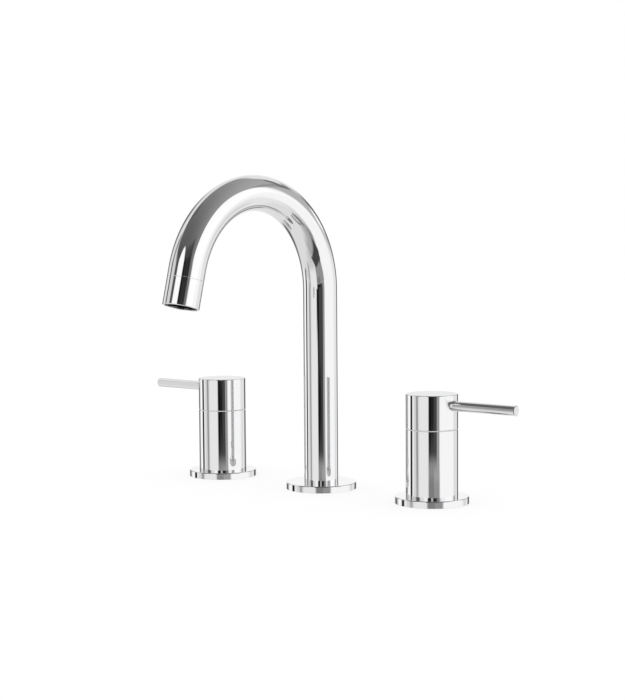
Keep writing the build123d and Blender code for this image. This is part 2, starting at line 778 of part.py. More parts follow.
# Handle units: the same pieces on both sides, mirrored where a side matters
for side_name, side in sides.items():
    base = side_base(side)
    turn = -side  # the way the handle opens, seen in the unit's own axes
    hole_d = barrel_d + 2 * washer_slack
    screw_axis = facing(base, hub_screw_h, -turn * 90)
    screw_start = adapter_d / 2 + 2 * running
    pieces = {
        "flange": flange(base, hole_d, handle_d),
        "gasket": gasket(base, hole_d),
        "sleeve": sleeve(base),
        "glide_ring": glide_ring(base),
        "valve_body": valve_body(base),
        "bonnet_nut": bonnet_nut(base),
        "cartridge_housing": cartridge_housing(base, turn),
        "housing_o_ring": rubber_rings(
            base, [housing_ring_h], housing_ring_cord, cartridge_bore_d - 2 * running
        ),
        "seat_seal": flat_ring(base, seat_h, disc_seat_h, seal_d, seal_bore_d),
        "fixed_disc": fixed_disc(base),
        "moving_disc": moving_disc(base),
        "stem": stem(base),
        "stem_o_rings": rubber_rings(base, stem_rings(), stem_ring_cord, throat_d),
        "stem_adapter": stem_adapter(base),
        "handle_hub": handle_hub(base, turn),
        "hub_set_screw": grub_screw(screw_axis, screw_start, handle_d / 2 - hub_screw_recess),
        "lever": lever(base),
        "rubber_washer": flat_ring(base, under_rubber, -deck, washer_d, hole_d),
        "steel_washer": flat_ring(base, under_steel, under_rubber, washer_d, hole_d),
        "locknut": hexagon_nut(base, under_nut, under_steel, barrel_nut_af, barrel_d + 2 * running),
    }
    for piece_name, piece in pieces.items():
        keep(piece, f"{side_name}_{piece_name}")
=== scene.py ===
# %% [markdown]
# # A chrome faucet in three pieces, built round its frame
#
# The object is a widespread bathroom faucet: a bent spout between two lever handles, all in polished
# chrome plate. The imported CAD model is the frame. It says where every piece is, and it is never moved.
# Chrome has hardly a colour of its own. What the eye reads as chrome is the room in it, so two things make
# this scene: surfaces whose normals are exact, and a studio of soft cards round the object.

import json
from math import ceil, cos, pi, radians, sin, tan

import bpy
import numpy as np
from mathutils import Euler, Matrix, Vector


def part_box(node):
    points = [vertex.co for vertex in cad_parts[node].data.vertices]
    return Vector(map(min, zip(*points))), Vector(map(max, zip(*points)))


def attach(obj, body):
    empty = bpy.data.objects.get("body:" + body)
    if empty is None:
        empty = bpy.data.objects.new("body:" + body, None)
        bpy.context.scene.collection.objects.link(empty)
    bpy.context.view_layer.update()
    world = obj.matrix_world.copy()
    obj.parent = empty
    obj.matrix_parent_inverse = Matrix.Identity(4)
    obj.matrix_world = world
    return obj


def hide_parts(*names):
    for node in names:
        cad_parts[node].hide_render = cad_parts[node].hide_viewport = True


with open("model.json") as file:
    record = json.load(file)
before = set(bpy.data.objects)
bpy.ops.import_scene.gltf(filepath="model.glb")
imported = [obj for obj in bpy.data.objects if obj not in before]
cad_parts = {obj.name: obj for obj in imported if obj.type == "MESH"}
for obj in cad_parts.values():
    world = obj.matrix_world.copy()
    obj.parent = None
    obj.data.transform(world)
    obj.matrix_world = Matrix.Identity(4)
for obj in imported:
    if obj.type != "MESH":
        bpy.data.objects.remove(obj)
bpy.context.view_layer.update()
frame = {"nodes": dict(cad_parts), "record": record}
MM = 0.001


def span(node):
    """Lowest and highest corner of a node's box at rest, in millimetres."""
    return tuple(np.array(corner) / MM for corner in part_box(node))


# %% [markdown]
# ## The camera
#
# The camera stands a little over a metre away, to the right of the spout and slightly above it, with a
# long lens, which keeps the upright cylinders parallel. Placed by eye, it would never bring all three units
# into place, so its numbers come from fitting the outlines of the tube, the handles and the flanges.

# %% Camera
camera_place = (0.71802, -0.85058, 0.18566)
camera_heading = 40.474  # degrees to the left of straight ahead along +Y
camera_pitch = -4.236  # degrees, below the horizon
camera_roll = 0.406  # degrees
camera_lens = 77.33  # millimetres, on the 36 millimetre side

camera_data = bpy.data.cameras.new("camera")
camera_data.lens = camera_lens
camera_data.clip_end = 50.0  # metres
camera = bpy.data.objects.new("camera", camera_data)
turn = Euler((0, 0, radians(camera_heading))).to_matrix()
tip = Euler((pi / 2 + radians(camera_pitch), 0, 0)).to_matrix()
roll = Euler((0, 0, radians(-camera_roll))).to_matrix()
camera.matrix_world = (turn @ tip @ roll).to_4x4()
camera.location = camera_place
bpy.context.scene.collection.objects.link(camera)
bpy.context.scene.camera = camera
bpy.context.scene.view_settings.view_transform = "Standard"
print("camera axes", [[round(v, 5) for v in row] for row in camera.matrix_world.to_3x3().transposed()])

# %% [markdown]
# ## A few words for node trees
#
# The studio and every finish are trees of nodes. Joined one statement at a time, a long tree is hard to
# read, so one function adds a node, sets its fields and joins its inputs, and it is the same for every kind
# of node. Colours are written as the sRGB values that a colour picker shows, and a shader gets them as
# linear ones.


# %% Nodes and colours
def to_linear(share):
    """sRGB value to linear value: divide by 12.92 near black, and raise to the power 2.4 elsewhere."""
    return np.where(share <= 0.04045, share / 12.92, ((share + 0.055) / 1.055) ** 2.4)


def linear(hex_colour):
    """sRGB hex to linear RGBA."""
    code = hex_colour.lstrip("#")
    parts = np.array([int(code[i : i + 2], 16) for i in (0, 2, 4)]) / 255
    return (*to_linear(parts).tolist(), 1.0)


def grey(level):
    """An sRGB grey as one linear value. White is 255, and a level above it is brighter than white."""
    return float(to_linear(level / 255))


def add_node(tree, kind, inputs=None, **fields):
    """Add one node. Fields set its menus, and inputs gives each socket a value or what to join to it.

    That is an output, or a node, which stands for its first output."""
    made = tree.nodes.new(kind)
    for name, value in fields.items():
        setattr(made, name, value)
    for socket, value in (inputs or {}).items():
        if isinstance(value, bpy.types.Node):
            value = value.outputs[0]
        if isinstance(value, bpy.types.NodeSocket):
            tree.links.new(value, made.inputs[socket])
        else:
            made.inputs[socket].default_value = value
    return made


# %% [markdown]
# ## The studio
#
# A photographer lights chrome with paper and cloth, not with bare lamps: large white cards on both sides, a
# black flag behind the camera for the dark core of each cylinder, a grey ceiling, and a white sweep below.
# A picture of a room would do too, but nothing in it could be moved. Here each card is a soft-edged patch
# of the sky, named by its direction from the faucet. Azimuth 0 is towards the camera and positive azimuth
# is to its right. The sky is far away, so upright cylinders of any size show the same bands. Matt pieces
# are lit by a plain white sky, and the camera sees a white one.

# %% World
camera_azimuth = -90 + camera_heading
card_gain = 1.25  # a card is this much brighter than the grey at which the chrome shows it
world = bpy.data.worlds.new("studio")
bpy.context.scene.world = world
world.use_nodes = True
sky = world.node_tree
sky.nodes.clear()

arithmetic = "ShaderNodeMath"
direction = add_node(sky, "ShaderNodeTexCoord").outputs["Generated"]
axes = add_node(sky, "ShaderNodeSeparateXYZ", {0: direction})
level_axes = {0: axes.outputs["Y"], 1: axes.outputs["X"]}
around_sky = add_node(sky, arithmetic, level_axes, operation="ARCTAN2")
around_sky = add_node(sky, arithmetic, {0: around_sky}, operation="DEGREES")
azimuth = add_node(sky, arithmetic, {0: around_sky, 1: camera_azimuth}, operation="SUBTRACT")
above_level = add_node(sky, arithmetic, {0: axes.outputs["Z"]}, operation="ARCSINE")
elevation = add_node(sky, arithmetic, {0: above_level}, operation="DEGREES")


def card(below, level, sides, ends, soft, slant=0.0, arch=0.0):
    """A soft-edged card over what is below it.

    Sides are its azimuths at the horizon, and ends its elevations. Its edges lean by slant degrees of
    azimuth for each degree of elevation. A positive arch brings the upper end down towards the sides, by
    this many degrees at the very sides and by the square of the distance between; a negative arch brings
    the lower end up."""
    middle, mid_height = (sides[0] + sides[1]) / 2, (ends[0] + ends[1]) / 2
    half_w, half_h = (sides[1] - sides[0]) / 2, (ends[1] - ends[0]) / 2
    beside = add_node(sky, arithmetic, {0: azimuth, 1: middle}, operation="SUBTRACT")
    lean = add_node(sky, arithmetic, {0: elevation, 1: -slant, 2: beside}, operation="MULTIPLY_ADD")
    lean = add_node(sky, arithmetic, {0: lean, 1: 180.0, 2: -180.0}, operation="WRAP")
    aside = add_node(sky, arithmetic, {0: lean}, operation="ABSOLUTE")
    rise = add_node(sky, arithmetic, {0: elevation, 1: mid_height}, operation="SUBTRACT")
    height = add_node(sky, arithmetic, {0: rise}, operation="ABSOLUTE")
    if arch:
        bent_end = "GREATER_THAN" if arch > 0 else "LESS_THAN"
        bent_side = add_node(sky, arithmetic, {0: rise, 1: 0.0}, operation=bent_end)
        share = add_node(sky, arithmetic, {0: aside, 1: half_w}, operation="DIVIDE")
        square = add_node(sky, arithmetic, {0: share, 1: share}, operation="MULTIPLY")
        bent = add_node(sky, arithmetic, {0: square, 1: abs(arch)}, operation="MULTIPLY")
        height = add_node(sky, arithmetic, {0: bent, 1: bent_side, 2: height}, operation="MULTIPLY_ADD")
    across, up = (
        add_node(
            sky,
            "ShaderNodeMapRange",
            {"Value": distance, "From Min": half + edge, "From Max": half - edge},
            interpolation_type="SMOOTHSTEP",
        )
        for distance, half, edge in ((aside, half_w, soft[0]), (height, half_h, soft[1]))
    )
    cover = add_node(sky, arithmetic, {0: across, 1: up}, operation="MULTIPLY")
    # Sockets 2 and 3 of a mix take its two numbers, and sockets 6 and 7 its two colours
    greys = {2: below, 3: grey(level) * card_gain}
    return add_node(sky, "ShaderNodeMix", {0: cover, **greys}, data_type="FLOAT")


# The ceiling is a slate grey that is brightest to the back on the right
ceiling_dark, ceiling_bright = (grey(level) * card_gain for level in (88, 163))
bright_azimuth, bright_lift, bright_reach, bright_power = 125, 0.1, 0.8, 1.6
bright_side = radians(camera_azimuth + bright_azimuth)
towards_light = add_node(
    sky,
    "ShaderNodeVectorMath",
    {0: direction, 1: (cos(bright_side), sin(bright_side), bright_lift)},
    operation="DOT_PRODUCT",
).outputs["Value"]
ceiling_share = add_node(
    sky,
    "ShaderNodeMapRange",
    {"Value": towards_light, "From Min": -bright_reach, "From Max": bright_reach},
)
brightness = add_node(sky, arithmetic, {0: ceiling_share, 1: bright_power}, operation="POWER")
ceiling_greys = {1: ceiling_bright - ceiling_dark, 2: ceiling_dark}
light = add_node(sky, arithmetic, {0: brightness, **ceiling_greys}, operation="MULTIPLY_ADD")

# name: grey shown in chrome, azimuths, elevations, softness across and up, and a slant and an arch if any
cards = {
    "sweep below": (219, (-200, 200), (-110, 0), (1, 6)),
    "dim ceiling on the left": (90, (-126, -100), (42, 62), (8, 4)),
    "room behind": (222, (-218, -82), (-8, 53.5), (5, 2), 0, 32),
    "doorway behind": (236, (-192, -166), (8, 26), (8, 1.5)),
    "far right": (228, (92, 150), (-40, 9), (6, 5)),
    "right card, low": (245, (29.7, 103), (-36, 10.6), (4, 3), 0, -14),
    "right card": (252, (35.5, 105), (1, 37.9), (4, 1.5), 0, 18.5),
    "right card, middle": (266, (54, 95), (5, 19), (9, 4)),
    "grey on the right": (176, (105, 142), (5, 28), (8, 4)),
    "dim edge": (143, (99, 124), (27.5, 34), (3, 2)),
    "dark on the right": (110, (97, 108), (27.5, 43), (3, 2), 0.8),
    "dark corner of the bend": (112, (127, 140), (26.5, 32), (2, 1.5)),
    "white edge of the bend": (224, (113, 139), (31.5, 50), (3.5, 2), 0.7),
    "white by the right rim": (246, (104.5, 124.5), (8.5, 15.8), (2.5, 1.5), 1.55),
    "grey line by the right card": (205, (112, 119), (-24, -6), (3, 4), -0.2),
    "dark at the right rim": (95, (138, 160), (-40, 20), (3, 4)),
    "grey behind": (185, (-161, -132), (-37, 34), (5, 9)),
    "dark at the left rim": (95, (-158, -140), (-40, 30), (3, 6)),
    "white strip": (251, (-129, -114), (-14, 6), (4, 6)),
    "dark gap, high": (125, (-112, -99.5), (14, 36), (6, 4)),
    "wall on the left": (210, (-99, -60), (-28, 25), (3, 7)),
    "white by the gap": (232, (-98, -88.5), (-14, 4), (3, 3)),
    "dark gap, middle": (66, (-110, -101), (1, 18), (2, 2)),
    "dark gap": (13, (-110.4, -98.6), (-12.5, 4), (1.8, 1.5)),
    "dark gap, tail": (105, (-116.7, -106.7), (-22, -11), (2.5, 2), -0.6),
    "wall by the left card": (190, (-79, -62), (0, 18), (3, 3)),
    "left, low": (203, (-64, -24), (-52, -26), (8, 4)),
    "grey flag, low": (166, (-76, -64), (-35, -13), (4, 5)),
    "left card": (229, (-62, -20), (-27, 22), (6, 5)),
    "grey flag": (146, (-80.2, -70.2), (-11, 1), (3, 3), -0.5),
    "grey flag, middle": (92, (-77, -58.5), (6.5, 17), (5, 3)),
    "grey flag, top": (78, (-76, -57), (17, 37), (4, 4)),
    "left card, top": (252, (-56.5, -21.5), (18, 40), (4, 1.5), 0, 13),
    "dark behind the camera, high": (68, (-21, 20), (10, 38), (1.8, 5)),
    "black flag, high": (46, (-20.3, 18), (10, 27), (2.2, 3.5)),
    "black edge, high": (24, (-19, -11), (12, 29), (1.5, 2)),
    "dark behind the camera": (66, (-18.2, 18.7), (-8.8, 16), (3, 0.7)),
    "grey beside the dark": (137, (19.2, 28), (-9, 11), (3.5, 0.7)),
    "dark flag": (32, (-16.5, 4), (-7.7, -5), (3.5, 1)),
    "black flag": (12, (-16.8, -9), (-8.2, 9), (2, 1)),
    "black strip": (30, (-24, -14), (-3.6, 12), (2.5, 1)),
    "black flag, middle": (30, (-21, 11.5), (5.5, 11.5), (2, 1.5)),
    "light slit": (188, (-7.5, 1.2), (6, 11.5), (2.5, 1)),
    "left card, middle": (256, (-39, -23.2), (5.5, 11.5), (4, 2)),
    "shade below": (170, (-34, 76), (-64, -40), (16, 10)),
    "shade below, near": (138, (-14, 60), (-47, -34), (8, 3)),
    "apron": (143, (-18, 30), (-28, -8.8), (4, 0.7)),
    "apron, near left": (124, (-17, 5), (-16, -8.8), (3, 0.7)),
    "apron, lower edge": (65, (-14, 41), (-43, -27.5), (4, 1.2)),
    "apron, lower left": (65, (15, 27), (-43, -28), (3, 1.2), 1),
    "apron, right corner": (70, (19, 35), (-34, -25), (3, 1.2)),
}
for level, sides, ends, soft, *bend in cards.values():
    light = card(light, level, sides, ends, soft, *bend)

plain_strength = 1.4
path = add_node(sky, "ShaderNodeLightPath")
studio = add_node(sky, "ShaderNodeBackground", {"Color": light, "Strength": 1.0})
plain = add_node(sky, "ShaderNodeBackground", {"Color": (1, 1, 1, 1), "Strength": plain_strength})
paper = add_node(sky, "ShaderNodeBackground", {"Color": (1, 1, 1, 1), "Strength": 1.0})
lit = add_node(sky, "ShaderNodeMixShader",
               {0: path.outputs["Is Glossy Ray"], 1: plain, 2: studio})
shown = add_node(sky, "ShaderNodeMixShader",
                 {0: path.outputs["Is Camera Ray"], 1: lit, 2: paper})
add_node(sky, "ShaderNodeOutputWorld", {"Surface": shown})
print("studio of", len(cards), "cards,", len(sky.nodes), "nodes")

# %% [markdown]
# ## The floor
#
# The units stand on a deck, so the floor lies at the frame's zero height and hides what is below the deck.
# Plain white paper would come out grey, so to the camera it also glows, just short of white, and the light
# that falls on it lifts it past white everywhere but in the thin contact shadows. The sky already has the
# sweep below the horizon, so mirror rays pass the floor by. They would then meet the brass that hangs below
# the deck, which no eye up there can see, so that is left out of reflections too.

# %% Floor
floor_reach = 4.0  # metres
paper_grey, paper_glow = "#727272", 0.78
floor_corners = [(x * floor_reach, y * floor_reach, 0) for x, y in ((-1, -1), (1, -1), (1, 1), (-1, 1))]
floor_mesh = bpy.data.meshes.new("floor")
floor_mesh.from_pydata(floor_corners, [], [(0, 1, 2, 3)])
floor = bpy.data.objects.new("floor", floor_mesh)
bpy.context.scene.collection.objects.link(floor)
floor.visible_glossy = False

floor_paper = bpy.data.materials.new("floor_paper")
floor_paper.use_nodes = True
tree = floor_paper.node_tree
tree.nodes.clear()
seen = add_node(tree, "ShaderNodeLightPath").outputs["Is Camera Ray"]
glow = add_node(tree, arithmetic, {0: seen, 1: paper_glow}, operation="MULTIPLY")
matt = add_node(tree, "ShaderNodeBsdfDiffuse", {"Color": linear(paper_grey)})
shine = add_node(tree, "ShaderNodeEmission", {"Color": (1, 1, 1, 1), "Strength": glow})
both = add_node(tree, "ShaderNodeAddShader", {0: matt, 1: shine})
add_node(tree, "ShaderNodeOutputMaterial", {"Surface": both})
floor_mesh.materials.append(floor_paper)
print("floor", 2 * floor_reach, "m across")

# %% [markdown]
# ## Turned pieces with exact normals
#
# Nearly every part of a faucet is turned or drawn round an axis: a flange, a sleeve, a lever, even the bent
# tube is a circle carried along a line. Blender can spin a profile too, but it averages the normals of
# neighbouring faces, and a mirror shows the smallest error of a normal. So one surface made here serves
# them all. Its outline is a chain of corners, each with a place along the axis, a radius and a rounding,
# which becomes an arc. Every strip of the outline knows its normal at both ends, and these are kept.


# %% Outlines
one_strip = 1e3  # a step longer than any side
tiny = 1e-6  # millimetres


def outline(corners, closed, arc_steps):
    """Rows of a turned piece's outline, and the normals of each strip at its start and at its end.

    A corner is (along, radius, rounding, step), of which the last two may be left out. A side runs straight
    between two corners, in strips no longer than the step of its first corner. A corner of rounding r that
    turns by an angle a is cut back by r tan(a / 2) on both sides and gets the arc between them. The solid
    lies to the right of the way."""
    places = np.array([corner[:2] for corner in corners], float)
    rounding = [corner[2] if len(corner) > 2 else 0.0 for corner in corners]
    step = [corner[3] if len(corner) > 3 else one_strip for corner in corners]
    count = len(corners)
    sides = count if closed else count - 1
    ahead = [places[(i + 1) % count] - places[i] for i in range(sides)]
    lengths = [np.hypot(*side) for side in ahead]
    ahead = [side / length for side, length in zip(ahead, lengths)]
    heading = [np.arctan2(side[1], side[0]) for side in ahead]

    def turning(i):
        """Angle by which the outline turns at the corner after side i."""
        return (heading[(i + 1) % sides] - heading[i] + pi) % (2 * pi) - pi

    cut = [rounding[i] * tan(abs(turning(i - 1)) / 2) if rounding[i] else 0.0 for i in range(count)]
    rows, starts, ends = [], [], []
    for i in range(sides):
        after = (i + 1) % count
        run = lengths[i] - cut[i] - cut[after]
        pieces = max(1, ceil(run / step[i] - tiny))
        for k in range(pieces):
            rows.append(places[i] + ahead[i] * (cut[i] + run * k / pieces))
            starts.append(heading[i])
            ends.append(heading[i])
        if rounding[after]:
            swing = turning(i)
            side_sign = 1 if swing < 0 else -1
            arc_start = places[after] - ahead[i] * cut[after]
            outward = np.array([-ahead[i][1], ahead[i][0]])
            centre = arc_start - outward * rounding[after] * side_sign
            for k in range(arc_steps):
                here = heading[i] + swing * k / arc_steps
                out = np.array([-sin(here), cos(here)])
                rows.append(centre + out * rounding[after] * side_sign)
                starts.append(here)
                ends.append(here + swing / arc_steps)
    if not closed:
        rows.append(places[-1])
    normals = [np.stack([-np.sin(way), np.cos(way)], 1) for way in (np.array(starts), np.array(ends))]
    return np.array(rows), *normals


def straight(origin, ahead, across):
    """A straight axis: a place along it, in millimetres, gives its centre and its three directions."""
    ahead, across = np.array(ahead, float), np.array(across, float)
    up = np.cross(ahead, across)

    def place(along):
        ones = np.ones((len(along), 1))
        return np.array(origin) + along[:, None] * ahead, ones * across, ones * up, ones * ahead

    return place


def upright(x=0.0, across=1):
    """The upright axis over this x, where angles start towards +X, or towards -X if across is -1."""
    return straight((x, 0, 0), (0, 0, 1), (across, 0, 0))


# %% [markdown]
# A screw thread could be a bump in the material, but its silhouette would stay smooth. Here it is a ripple
# in the same surface. The radius dips by the thread's depth once for each pitch along the axis, and the dip
# moves round with the angle, which makes the helix. It fades out over one pitch at both ends, where the
# tool leaves the work. The normal leans by the ripple's slope, which is known too.


# %% Threads
def ripple(along, radius, angle, threads):
    """Depth of the threads at each row and angle, with its slopes along the axis and round it.

    The depth is (1 - cos(2 pi phase)) / 2 of the thread's depth, the phase is along / pitch - angle / 2 pi,
    and a smooth step over one pitch fades it at both ends."""
    depth, along_slope, round_slope = (np.zeros((len(along), angle.size)) for _ in range(3))
    for low, high, surface_r, pitch, cut in threads:
        on = (np.abs(radius - surface_r) < tiny) & (along >= low - tiny) & (along <= high + tiny)
        inside = np.clip(np.minimum(along - low, high - along) / pitch, 0, 1)
        fade = np.where(on, inside * inside * (3 - 2 * inside), 0.0)[:, None]
        phase = 2 * pi * (along[:, None] / pitch) - angle
        depth += cut * fade * (1 - np.cos(phase)) / 2
        along_slope += cut * fade * np.sin(phase) * pi / pitch
        round_slope -= cut * fade * np.sin(phase) / 2
    return depth, along_slope, round_slope


# %% Surfaces
def surface(name, vertices, quads, quad_normals, triangles, triangle_normals):
    """Put faces into a new object at the origin, and keep the normal worked out for each corner."""
    mesh = bpy.data.meshes.new(name)
    mesh.from_pydata((vertices * MM).tolist(), [], quads.tolist() + triangles.tolist())
    mesh.shade_smooth()
    normals = np.concatenate([quad_normals.reshape(-1, 3), triangle_normals.reshape(-1, 3)])
    kept = mesh.attributes.new("worked_normal", "FLOAT_VECTOR", "CORNER")
    kept.data.foreach_set("vector", normals.astype(np.float32).ravel())
    mesh.update()
    piece = bpy.data.objects.new(name, mesh)
    bpy.context.scene.collection.objects.link(piece)
    return piece


def turned(name, axis, corners, around=128, arc_steps=6, threads=()):
    """A piece turned round an axis, straight or bent.

    The point at a place along the axis and an angle is the axis's centre there, plus the outline's radius
    times cos(angle) across plus sin(angle) up. Its normal is the outline's, on the same directions. An
    outline that starts on the axis also ends there, and otherwise it closes. A row on the axis is one
    vertex, with triangles round it. A thread is (low, high, radius, pitch, depth) and lowers the radius of
    its stretch by its ripple."""
    rows, start_normal, end_normal = outline(corners, corners[0][1] > 0, arc_steps)
    centre, across, up, ahead = axis(rows[:, 0])
    angle = np.linspace(0, 2 * pi, around, endpoint=False)[None, :]
    radial = np.cos(angle)[..., None] * across[:, None] + np.sin(angle)[..., None] * up[:, None]
    tangent = np.cos(angle)[..., None] * up[:, None] - np.sin(angle)[..., None] * across[:, None]
    depth, along_slope, round_slope = ripple(rows[:, 0], rows[:, 1], angle, threads)
    points = centre[:, None] + (rows[:, 1, None] - depth)[..., None] * radial
    lean = along_slope[..., None] * ahead[:, None]
    lean = lean + round_slope[..., None] / np.maximum(rows[:, 1, None, None], tiny) * tangent

    pole = rows[:, 1] < tiny
    size = np.where(pole, 1, around)
    first = np.concatenate([[0], np.cumsum(size)[:-1]])
    vertices = np.concatenate([points[i, : size[i]] for i in range(len(rows))])
    column = np.arange(around)
    index = first[:, None] + np.where(pole[:, None], 0, column[None])

    low = np.arange(len(start_normal))
    high = (low + 1) % len(rows)
    beside = (column + 1) % around
    at_row = np.stack([low, low, high, high])[:, :, None]
    at_column = np.stack([column, beside, beside, column])[:, None, :]
    corner_index = index[at_row, at_column]
    strip_normal = np.stack([start_normal, start_normal, end_normal, end_normal])[:, :, None]
    normal = strip_normal[..., 0, None] * ahead[at_row]
    normal = normal + strip_normal[..., 1, None] * radial[at_row, at_column]
    # Only strips that face straight outwards carry a thread
    outwards = (np.abs(strip_normal[..., 0]) < tiny) & (strip_normal[..., 1] > 0)
    normal = normal + np.where(outwards[..., None], lean[at_row, at_column], 0.0)
    normal = normal / np.linalg.norm(normal, axis=-1, keepdims=True)
    corner_index = np.moveaxis(corner_index, 0, 2)
    normal = np.moveaxis(normal, 0, 2)
    full = ~pole[low] & ~pole[high]
    fans = [(pole[low], [0, 2, 3]), (pole[high], [0, 1, 2])]
    triangles = [corner_index[rows_in][:, :, keep].reshape(-1, 3) for rows_in, keep in fans]
    triangle_normals = [normal[rows_in][:, :, keep].reshape(-1, 3, 3) for rows_in, keep in fans]
    return surface(
        name,
        vertices,
        corner_index[full].reshape(-1, 4),
        normal[full].reshape(-1, 4, 3),
        np.concatenate(triangles),
        np.concatenate(triangle_normals),
    )


# %% [markdown]
# A round hole in a turned piece is cut with a turned cutter, and an arm is joined on in the same way, once,
# while the scene is made. A cut leaves the cutter's normals on the hole's wall, and these still point out
# of the cutter, so each normal that points into its own face is turned round.
#
# Blender keeps a mesh's own corner normals as small turns away from the ones that it would average, and
# these are what a renderer reads. They are set last, when the faces no longer change.


# %% Cuts, joins and the last steps of a piece
def carve(piece, tools, operation="DIFFERENCE"):
    """Cut the tools out of the piece, or join them to it, and remove them."""
    for tool in tools:
        change = piece.modifiers.new("change", "BOOLEAN")
        change.object, change.operation, change.solver = tool, operation, "EXACT"
    graph = bpy.context.evaluated_depsgraph_get()
    changed = piece.evaluated_get(graph)
    made = bpy.data.meshes.new_from_object(changed, preserve_all_data_layers=True, depsgraph=graph)
    piece.modifiers.clear()
    piece.data = made
    for tool in tools:
        bpy.data.objects.remove(tool)


def settle(piece):
    """Turn the worked-out normals into the mesh's own corner normals."""
    mesh = piece.data
    worked = mesh.attributes["worked_normal"]
    normal = np.zeros((len(mesh.loops), 3), np.float32)
    facing = np.zeros((len(mesh.polygons), 3), np.float32)
    corner_count = np.zeros(len(mesh.polygons), int)
    worked.data.foreach_get("vector", normal.ravel())
    mesh.polygons.foreach_get("normal", facing.ravel())
    mesh.polygons.foreach_get("loop_total", corner_count)
    normal[(np.repeat(facing, corner_count, 0) * normal).sum(1) < 0] *= -1
    normal /= np.linalg.norm(normal, axis=1, keepdims=True)
    mesh.attributes.remove(worked)
    mesh.normals_split_custom_set(normal)


def below_deck(node):
    """Whether a CAD node hangs below the deck, where mirror rays must not find it."""
    return span(node)[0][2] < 0


def fit(piece, slot_name, body, *nodes):
    """Settle a new piece, give it its slot's finish, and let it stand for its CAD nodes on their body."""
    settle(piece)
    piece.data.materials.append(finishes[slot_name])
    piece.visible_glossy = not any(below_deck(node) for node in nodes)
    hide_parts(*nodes)
    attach(piece, body)
    print(piece.name, "has", len(piece.data.polygons), "faces")


# %% [markdown]
# ## Finishes
#
# Each finish starts from what the real surface is and how it was made. Pictures of it would have to be
# wrapped round every piece, while noise in the object's own coordinates covers any shape at its real size.
# So a finish is a material with plain values, and noise varies them. The same grain and detail give the
# same noise again, which is how a colour and a gloss, or a colour and a relief, stay together.


# %% A finish from its values
finishes = {}
usual = {"detail": 2.0, "start": 0.3, "end": 0.7, "low": 0.0, "high": 1.0}


def add_finish(name, hex_colour, metallic, roughness, tint=None, haze=None, relief=None, plain=None):
    """Make the Principled material of one slot, in the coordinates of the object that it is on.

    Three noises can vary it, each with blotches of its grain in millimetres. Tint leads the colour from
    its first sRGB hex colour to the second, and haze leads the roughness from low to high, both while the
    noise goes from start to end. Relief is a bump of this depth in millimetres, and its flatness
    stretches the noise sideways. Plain holds further inputs of the shader, and what a noise leaves out
    is as usual."""
    material = bpy.data.materials.new(name + "_finish")
    material.use_nodes = True
    tree = material.node_tree
    tree.nodes.clear()
    values = {"Base Color": linear(hex_colour), "Metallic": metallic, "Roughness": roughness}
    shader = add_node(tree, "ShaderNodeBsdfPrincipled", {**values, **(plain or {})})
    add_node(tree, "ShaderNodeOutputMaterial", {"Surface": shader})
    place = add_node(tree, "ShaderNodeTexCoord").outputs["Object"]
    for change, target in ((tint, "Base Color"), (haze, "Roughness"), (relief, "Normal")):
        if not change:
            continue
        change = {**usual, **change}
        where = place
        if "flatness" in change:
            level = 1 / change["flatness"]
            where = add_node(tree, "ShaderNodeMapping", {"Vector": place, "Scale": (level, level, 1.0)})
        inputs = {"Vector": where, "Scale": 1 / (change["grain"] * MM), "Detail": change["detail"]}
        noise = add_node(tree, "ShaderNodeTexNoise", inputs).outputs["Fac"]
        if target == "Normal":
            inputs = {"Strength": 1.0, "Distance": change["depth"] * MM, "Height": noise}
            result = add_node(tree, "ShaderNodeBump", inputs).outputs[0]
        else:
            inputs = {"Value": noise, "From Min": change["start"], "From Max": change["end"]}
            inputs |= {"To Min": change["low"], "To Max": change["high"]}
            result = add_node(tree, "ShaderNodeMapRange", inputs).outputs[0]
        if target == "Base Color":
            inputs = {0: result, 6: linear(change["first"]), 7: linear(change["second"])}
            result = add_node(tree, "ShaderNodeMix", inputs, data_type="RGBA").outputs[2]
        tree.links.new(result, shader.inputs[target])
    finishes[name] = material


# %% [markdown]
# ### Chrome plate
#
# Decorative chrome is a very thin, hard layer of chromium over polished brass and bright nickel. It is
# almost a perfect mirror, and a plain mirror would nearly do. New chrome still isn't flawless: polishing
# leaves a waviness of about a micrometre over several millimetres, and handling leaves a faint haze in
# patches. So the roughness drifts a little between two low values, and a very shallow bump bends long
# reflections.

# %% Chrome plate
chrome = "chrome_plate"
add_finish(
    chrome, "#E7E7E8", metallic=1.0, roughness=0.03,
    haze=dict(grain=14.0, detail=3.0, low=0.015, high=0.045),
    relief=dict(grain=9.0, detail=1.0, depth=0.0004),
)

# %% [markdown]
# ### Brass
#
# The hidden works are brass. Pieces from the lathe are bright, with rings a fraction of a millimetre apart
# and thin brown films where fingers have touched them. The rings are noise that is stretched flat, so that
# it varies only in height. The valve blocks and the tee are cast and then tumbled with grit, so they are
# duller and redder, with fine pits. The noise of the pits also drives their colour, so that they are dark.

# %% Brass
add_finish(
    "turned_brass", "#D9B56A", metallic=1.0, roughness=0.26,
    tint=dict(grain=7.0, detail=4.0, start=0.35, end=0.75, first="#DDBB72", second="#B8904A"),
    haze=dict(grain=7.0, detail=4.0, low=0.2, high=0.36),
    relief=dict(grain=0.35, detail=1.0, depth=0.004, flatness=50),
)
add_finish(
    "cast_brass", "#B98E4C", metallic=1.0, roughness=0.42,
    tint=dict(grain=0.7, detail=3.0, start=0.35, end=0.6, first="#8F6A36", second="#C79C58"),
    haze=dict(grain=6.0, low=0.34, high=0.52),
    relief=dict(grain=0.7, detail=3.0, depth=0.05),
)

# %% [markdown]
# ### Steel
#
# The grub screws and the aerator's mesh are drawn stainless steel, grey and fairly bright. The washers are
# stamped from sheet and zinc plated. Zinc is bluish and cloudy, with patches a few millimetres across
# that differ in gloss.

